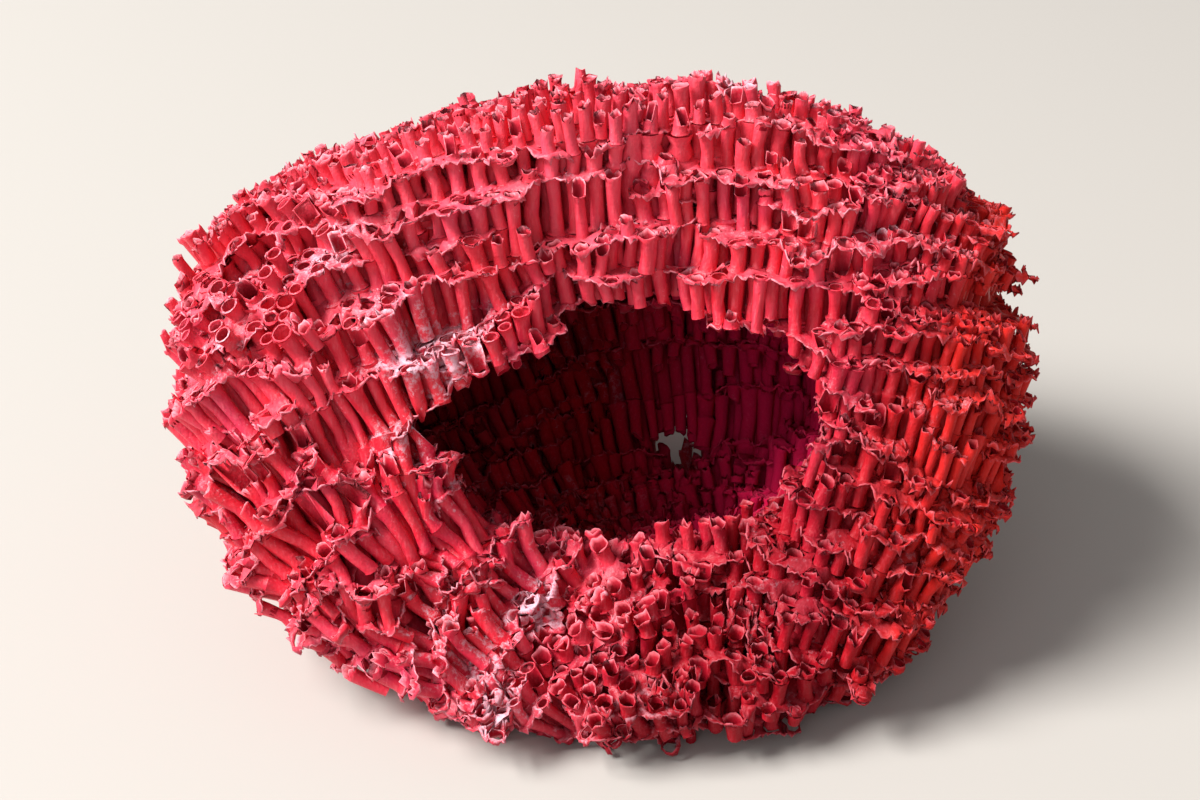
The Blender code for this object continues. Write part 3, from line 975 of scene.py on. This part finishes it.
    # Painted shade darkens the linings inside the pipe mouths, and the cave and its sill, which are
    # red on the left and purple on the right.
    whole = add(tree, "ShaderNodeMath", {0: 1.0, 1: stored["rim"]}, operation="SUBTRACT")
    inner = add(tree, "ShaderNodeMath", {0: stored["within"], 1: whole}, operation="MULTIPLY")
    inner = add(tree, "ShaderNodeMapRange", {"Value": inner, 1: 0.03, 2: 0.25})
    lining = add(tree, "ShaderNodeMath", {0: inner, 1: 0.8}, operation="MULTIPLY")
    cave_shade_colour = add(tree, "ShaderNodeMapRange", {"Value": axes["X"], 1: 0.0, 2: 30 * MM})
    cave_shade_colour = add(tree, "ShaderNodeMix", {0: cave_shade_colour, 6: linear(CAVE_SHADE_RED), 7: linear(CAVE_SHADE_PURPLE)},
                data_type="RGBA")
    cave = add(tree, "ShaderNodeMath", {0: stored["hollow"], 1: 0.7}, operation="MULTIPLY")

    colour = linear(reds["plain"])
    for share, laid_over in (
        (mottle, linear(reds["light"])), (regions, linear(reds["deep"])), (patches, linear(reds["purplish"])),
        (upper, linear(TOP_PAINTED_LIGHT_RED)), (shaded, far.outputs[2]), (streaks, linear(reds["streak"])),
        (specks, linear(SPECK_PINK)), (broken, linear(reds["broken"])), (dusty, linear(DUST_COLOUR)),
        (lining, linear(LINING_SHADE_RED)), (cave, cave_shade_colour.outputs[2]),
    ):
        colour = add(tree, "ShaderNodeMix", {0: share, 6: colour, 7: laid_over}, data_type="RGBA").outputs[2]

    height = add(tree, "ShaderNodeMath", {0: noise["streaks"], 1: 0.8, 2: noise["grain"]},
                 operation="MULTIPLY_ADD")
    grain = add(tree, "ShaderNodeBump", {"Height": height, "Strength": 0.6, "Distance": 0.2 * MM})
    # Painted shade also takes the gloss away in the cave, inside the pipe mouths and low on the right.
    gloss = add(tree, "ShaderNodeMath", {0: stored["hollow"], 1: inner}, operation="MAXIMUM")
    gloss = add(tree, "ShaderNodeMapRange", {"Value": gloss, 3: 0.3, 4: 0.0})
    gloss = add(tree, "ShaderNodeMath", {0: gloss, 1: outside_painted_shade}, operation="MULTIPLY")
    shader = add(tree, "ShaderNodeBsdfPrincipled",
                 {"Base Color": colour, "Roughness": 0.42, "Specular IOR Level": gloss, "Normal": grain})
    tree.links.new(shader.outputs[0], output.inputs["Surface"])
    return material


def dust_share(points):
    """How much pale dust has settled at some points."""
    share = np.zeros(len(points))
    for middle, size, strength in DUST_SPOTS:
        share = np.maximum(share, strength * bump(points, np.array(middle) * MM, size * MM))
    return share


def hollow_share(points):
    """Share of painted shade at points in the cave: 0 at its mouth and outside, 1 deep within, and reaching
    further out over the low sill.
    """
    off = points - CAVE_MIDDLE
    off[:, 2] += off[:, 1] * CAVE_DROP
    near = np.linalg.norm(off / CAVE_HALF, axis=1)
    x, y, z = points.T
    sill = ramp(z, 30 * MM, 22 * MM)
    behind = np.clip((y + (2 + 9 * sill) * MM) / (17 * MM), 0, 1)
    under = ramp(z - 0.3 * y, 52 * MM, 44 * MM)
    return ramp(near, 1.12, 1.0) * behind * under


def store(mesh, values_by_name):
    """Keeps values on a mesh's points: numbers, or vectors where there are three to a point."""
    for name, values in values_by_name.items():
        vectors = np.ndim(values) == 2
        kept_as = mesh.attributes.new(name, "FLOAT_VECTOR" if vectors else "FLOAT", "POINT").data
        kept_as.foreach_set("vector" if vectors else "value", np.float32(values).ravel())


def chain_object(name, rows, broken_cup):
    """Chains as a mesh of edges that carries what shapes each ring."""
    table = np.array([item for chain in rows for item in chain])
    level, swell, cut, jag, rim, inside, low_side, high_side = table.T[1:]
    pipe = table[:, 0].astype(int)
    spots = path(pipe, level)
    sizes = np.array([len(chain) for chain in rows])
    ends = np.cumsum(sizes)
    starts = ends - sizes
    edges = [(i, i + 1) for start, end in zip(starts.tolist(), ends.tolist()) for i in range(start, end - 1)]
    # A chain's face is turned the way that its broken end faces out.
    broken = np.array([start + np.argmax(rim[start:end]) for start, end in zip(starts, ends)])
    ways = outward(spots[broken])
    ways += FACING_SPREAD * np.random.default_rng(SEED).normal(size=(pipe_count, 3))[pipe[broken]]
    # Pipes flare up to each floor, and start a little wide on top of it.
    gap = passing[pipe] - level[:, None]
    up_to = np.nanmin(np.where(gap > -0.01 * MM, gap, 1.0), axis=1).clip(0)
    down_to = np.nanmin(np.where(gap < 0.01 * MM, -gap, 1.0), axis=1).clip(0)
    cup = CUP * np.where(np.isin(pipe, pipe[rim > 0]), broken_cup, 1.0)
    funnel = 1 + np.maximum(cup * np.exp(-up_to / CUP_REACH), COLLET * np.exp(-down_to / COLLET_REACH))
    mesh = bpy.data.meshes.new(name)
    mesh.from_pydata(spots.tolist(), edges, [])
    store(mesh, {
        "girth": swell * pipe_radius[pipe] * funnel, "cut": cut, "jag": jag, "rim": rim, "inside": inside,
        "low_side": low_side, "high_side": high_side, "seed": pipe_seed[pipe],
        "within": (inside - 0.5).clip(0) * 2, "hollow": hollow_share(spots), "dust": dust_share(spots),
        "along": path_way(pipe, level), "facing": np.repeat(ways, sizes, axis=0),
    })
    item = bpy.data.objects.new(name, mesh)
    bpy.context.scene.collection.objects.link(item)
    return item


def apply_tree(item, tree, inputs):
    """Runs a node tree on an object and keeps the result as a plain mesh."""
    step = item.modifiers.new("shape", "NODES")
    step.node_group = tree
    for socket in tree.interface.items_tree:
        if socket.name in inputs and socket.in_out == "INPUT":
            step[socket.identifier] = inputs[socket.name]
    bpy.context.view_layer.update()
    graph = bpy.context.evaluated_depsgraph_get()
    made = bpy.data.meshes.new_from_object(item.evaluated_get(graph), depsgraph=graph)
    item.modifiers.clear()
    item.data = made
    made.name = item.name
    for name in RING_VALUES:
        if name in made.attributes:
            made.attributes.remove(made.attributes[name])


walls = pipe_tree()
pipe_calcite = red_calcite_with_painted_light("red_calcite_pipes", PIPE_REDS)
for kind, rows in chains.items():
    order = np.argsort([pipe_home[chain[0][0]][0] for chain in rows], kind="stable")
    for n, some in enumerate(np.array_split(order, PIECES[kind])):
        piece = chain_object(f"{kind}_pipes_{n + 1}", [rows[i] for i in some], BROKEN_CUPS.get(kind, 1.0))
        apply_tree(piece, walls, {"Sides": SIDES[kind], "Unevenness": LUMPS[kind], "Lump size": LUMP_SIZE,
                                  "Finish": pipe_calcite})
        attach(piece, "root")
        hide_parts("coral_colony")

# --- Floors -----------------------------------------------------------------------------------
# Thin plates of the same calcite join the pipes like the storeys of a house. They climb each
# pipe in a small collar, and their free edges are frilled and broken.
FLOOR_PIECES = 4
FLOOR_REACH = 11 * MM
COARSE_DEPTH = 4.2 * MM
LEDGE_DEPTH = 2.9 * MM
LONGEST_WEB = 3.1 * MM
COARSE_WEB_SPARE = 2.2 * MM
MISSING, MISSING_SIZE, MISSING_SEED = 1.35, 9 * MM, 500
SQUARE_ON = 0.72
COLLAR, COLLAR_CORNERS, COLLAR_WIDTH, TIGHT_COLLAR_WIDTH = 0.9 * MM, 8, 1.4, 1.1
LEDGE_SIZE, LEDGE_SEED, LEDGE_CORNERS, LEDGE_CURL = 7 * MM, 800, 7, 0.3 * MM
TOOTH, TOOTH_REACH, TOOTH_CURL = 0.55 * MM, (-0.12 * MM, 0.45 * MM), 0.37 * MM
# The "shaded" red of the floors is painted shade low on the right, as on the pipes.
FLOOR_REDS = {"plain": "BA1830", "light": "D0364E", "deep": "BC182C", "purplish": "A22248",
              "shaded": "840814", "streak": "DC6A7C", "broken": "EC94A4"}


def unroll(points, level):
    """Flat map of a floor that keeps distances away from the fan's axis."""
    out = np.linspace(0, 110 * MM, 400)
    up = np.sqrt(np.maximum((level + FAN_ROOT) ** 2 - out**2 / FAN_SPREAD, (4 * MM) ** 2))
    run = np.concatenate([[0], np.cumsum(np.hypot(np.diff(out), np.diff(up)))])
    flat = points[:, :2] - FAN
    reach = np.linalg.norm(flat, axis=1) + 1e-9
    return flat * (np.interp(reach, out, run) / reach)[:, None]


def frilled(points, triangles, owner, up, edge):
    """Breaks the free edges of a sheet into small teeth that curl up and down."""
    uses = {}
    for a, b, c in triangles.tolist():
        for pair in ((a, b), (b, c), (c, a)):
            key = (min(pair), max(pair))
            uses[key] = uses.get(key, 0) + 1
    points, owner, up, edge = list(points), list(owner), list(up), list(edge)
    whole = []
    for a, b, c in triangles.tolist():
        loop = []
        for p, q, away in ((a, b, c), (b, c, a), (c, a, b)):
            loop.append(p)
            on_pipe = owner[p] == owner[q] and owner[p] >= 0
            run = points[q] - points[p]
            count = int(np.linalg.norm(run) / TOOTH)
            if uses[(min(p, q), max(p, q))] > 1 or on_pipe or count < 1:
                continue
            out = (points[p] + points[q]) / 2 - points[away]
            out /= np.linalg.norm(out) + 1e-9
            sharp = 1 + 0.5 * on_the_right(points[p][0])
            for k in range(count):
                spot = points[p] + run * (k + 0.5 + luck.uniform(-0.25, 0.25)) / count
                reach = out * luck.uniform(*TOOTH_REACH)
                curl = up[p] * luck.normal() * TOOTH_CURL
                loop.append(len(points))
                points.append(spot + sharp * (reach + curl))
                owner.append(owner[p])
                up.append(up[p])
                edge.append(1.0)
        if len(loop) == 3:
            whole.append((a, b, c))
            continue
        # A triangle with teeth is cut into a fan about its middle.
        middle = len(points)
        points.append((points[a] + points[b] + points[c]) / 3)
        owner.append(owner[a])
        up.append(up[a])
        edge.append(0.0)
        whole += [(p, q, middle) for p, q in zip(loop, loop[1:] + loop[:1])]
    return np.array(points), np.array(whole), np.array(owner), np.array(edge)


def floor_points(step, pipes, flat_spots, spots, below, along, front):
    """A floor's points: a collar round each pipe, and a ledge in front of the outer ones.

    Each has its place, its place on the even floor, its pipe, how near it is to a free edge, and
    the way up. A point on a ledge counts its pipe from -1 down.
    """
    side = np.cross(along, front)
    neighbours = KDTree(len(pipes))
    for n, spot in enumerate(spots):
        neighbours.insert(spot, n)
    neighbours.balance()
    ledge = smooth_noise(spots, LEDGE_SIZE, LEDGE_SEED + step) * 0.6 + 0.5
    found = []
    for n, radius in enumerate(pipe_radius[pipes]):
        if below[n] > COARSE_DEPTH:
            found.append((spots[n], flat_spots[n], n, 0.0, along[n]))
            continue
        for turn in np.arange(COLLAR_CORNERS) / COLLAR_CORNERS * 2 * math.pi:
            way = math.cos(turn) * front[n] + math.sin(turn) * side[n]
            lift = along[n] * luck.uniform(-0.1, 0.55) * COLLAR
            tight = ledge[n] < 0 and math.cos(turn) > 0.3
            out = way * radius * (TIGHT_COLLAR_WIDTH if tight else COLLAR_WIDTH)
            found.append((spots[n] + out + lift, flat_spots[n] + way * radius, n, 0.3, along[n]))
        if below[n] >= LEDGE_DEPTH or ledge[n] <= 0:
            continue
        for turn in np.linspace(-2.0, 2.0, LEDGE_CORNERS):
            turn += luck.uniform(-0.2, 0.2)
            way = math.cos(turn) * front[n] + math.sin(turn) * side[n]
            out = way * (radius + (0.42 + 0.3 * min(ledge[n], 1.2) + 0.6 * luck.random() ** 2) * MM)
            spot = spots[n] + out
            near = [m for _, m, _ in neighbours.find_range(spot, 2 * MM) if m != n]
            if any(np.linalg.norm(spots[m] - spot) < pipe_radius[pipes[m]] + 0.3 * MM for m in near):
                continue
            curl = along[n] * luck.normal() * LEDGE_CURL
            found.append((spot + curl, flat_spots[n] + out, -1 - n, 0.6, along[n]))
    return [np.array(column) for column in zip(*found)]


def make_floor(step, pipes):
    """One floor through these pipes: points, triangles, nearness to a free edge, and seeds."""
    pipes = np.array(sorted(set(pipes)), dtype=int)
    if len(pipes) < 3:
        return None
    spots = path(pipes, passing[pipes, step])
    below = depth(spots) - shelf_cut(step + 0.5, spots)
    near = below < FLOOR_REACH
    pipes, spots, below = pipes[near], spots[near], below[near]
    if len(pipes) < 3:
        return None
    flat_spots = straight_path(pipe_home[pipes], np.full(len(pipes), step * STEP))
    along = path_way(pipes, passing[pipes, step])
    ways = outward(spots)
    square_on = (ways * along).sum(axis=1)
    front = unit(ways - along * square_on[:, None])
    points, flat, owner, edge, up = floor_points(step, pipes, flat_spots, spots, below, along, front)
    flat = unroll(flat, step * STEP)
    joined = delaunay_2d_cdt([Vector(p) for p in (flat / MM).tolist()], [], [], 0, 1e-6)
    origin = np.array([ids[0] if ids else -1 for ids in joined[3]])
    triangles = origin[np.array(joined[2])]
    triangles = triangles[(triangles >= 0).all(axis=1)]

    # Webs that are too long, that close a pipe, or that have broken out are left out.
    a, b, c = points[triangles.T]
    longest = np.max([np.linalg.norm(p - q, axis=1) for p, q in ((a, b), (b, c), (c, a))], axis=0)
    whose = owner[triangles]
    by_pipe = np.where(whose >= 0, whose, -1 - whose)
    longest -= COARSE_WEB_SPARE * (below[by_pipe] > COARSE_DEPTH).any(axis=1)
    closing = (whose == whose[:, :1]).all(axis=1) & (whose[:, 0] >= 0)
    middle = (a + b + c) / 3
    deep = depth(middle)
    missing = smooth_noise(middle, MISSING_SIZE, MISSING_SEED + step * 10) > MISSING
    bare = (square_on[by_pipe[:, 0]] > SQUARE_ON) & (deep < 1.4 * MM)
    first_here = (2 * pipe_first[pipes] == step)[by_pipe].any(axis=1)
    unbroken = (deep > -2.4 * MM) & ~missing & ~bare
    triangles = triangles[(longest < LONGEST_WEB) & ~closing & (first_here | unbroken)]
    if not len(triangles):
        return None
    a, b, c = points[triangles.T]
    wrong = (np.cross(b - a, c - a) * up[triangles[:, 0]]).sum(axis=1) < 0
    triangles[wrong] = triangles[wrong][:, ::-1]
    points, triangles, owner, edge = frilled(points, triangles, owner, up, edge)
    return points, triangles, edge, pipe_seed[pipes[np.where(owner >= 0, owner, -1 - owner)]]


def floor_piece(name, sheets):
    """Some floors as one piece, which gets its thickness from a modifier."""
    shifts = np.cumsum([0] + [len(sheet[0]) for sheet in sheets])
    triangles = np.concatenate([sheet[1] + shift for sheet, shift in zip(sheets, shifts)])
    points, edge, seed = [np.concatenate([sheet[part] for sheet in sheets]) for part in (0, 2, 3)]
    used, triangles = np.unique(triangles, return_inverse=True)
    points = points[used]
    points[:, 2] = np.maximum(points[:, 2], CUT_LEVEL)
    mesh = bpy.data.meshes.new(name)
    mesh.from_pydata(points.tolist(), [], triangles.reshape(-1, 3).tolist())
    store(mesh, {"rim": edge[used], "seed": seed[used], "hollow": hollow_share(points),
                 "dust": dust_share(points)})
    mesh.shade_smooth()
    mesh.materials.append(floor_calcite)
    item = bpy.data.objects.new(name, mesh)
    bpy.context.scene.collection.objects.link(item)
    plate = item.modifiers.new("plate", "SOLIDIFY")
    plate.thickness = WALL
    plate.offset = 0.0
    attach(item, "root")
    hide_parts("coral_colony")


floor_calcite = red_calcite_with_painted_light("red_calcite_floors", FLOOR_REDS)
sheets = [make_floor(step, floor_pipes[step]) for step in range(STEPS + 1)]
sheets = [sheet for sheet in sheets if sheet]
sizes = np.cumsum([len(sheet[1]) for sheet in sheets])
for n in range(FLOOR_PIECES):
    fewest, most = sizes[-1] * n / FLOOR_PIECES, sizes[-1] * (n + 1) / FLOOR_PIECES
    floor_piece(f"floors_{n + 1}", [sheet for sheet, size in zip(sheets, sizes) if fewest < size <= most])
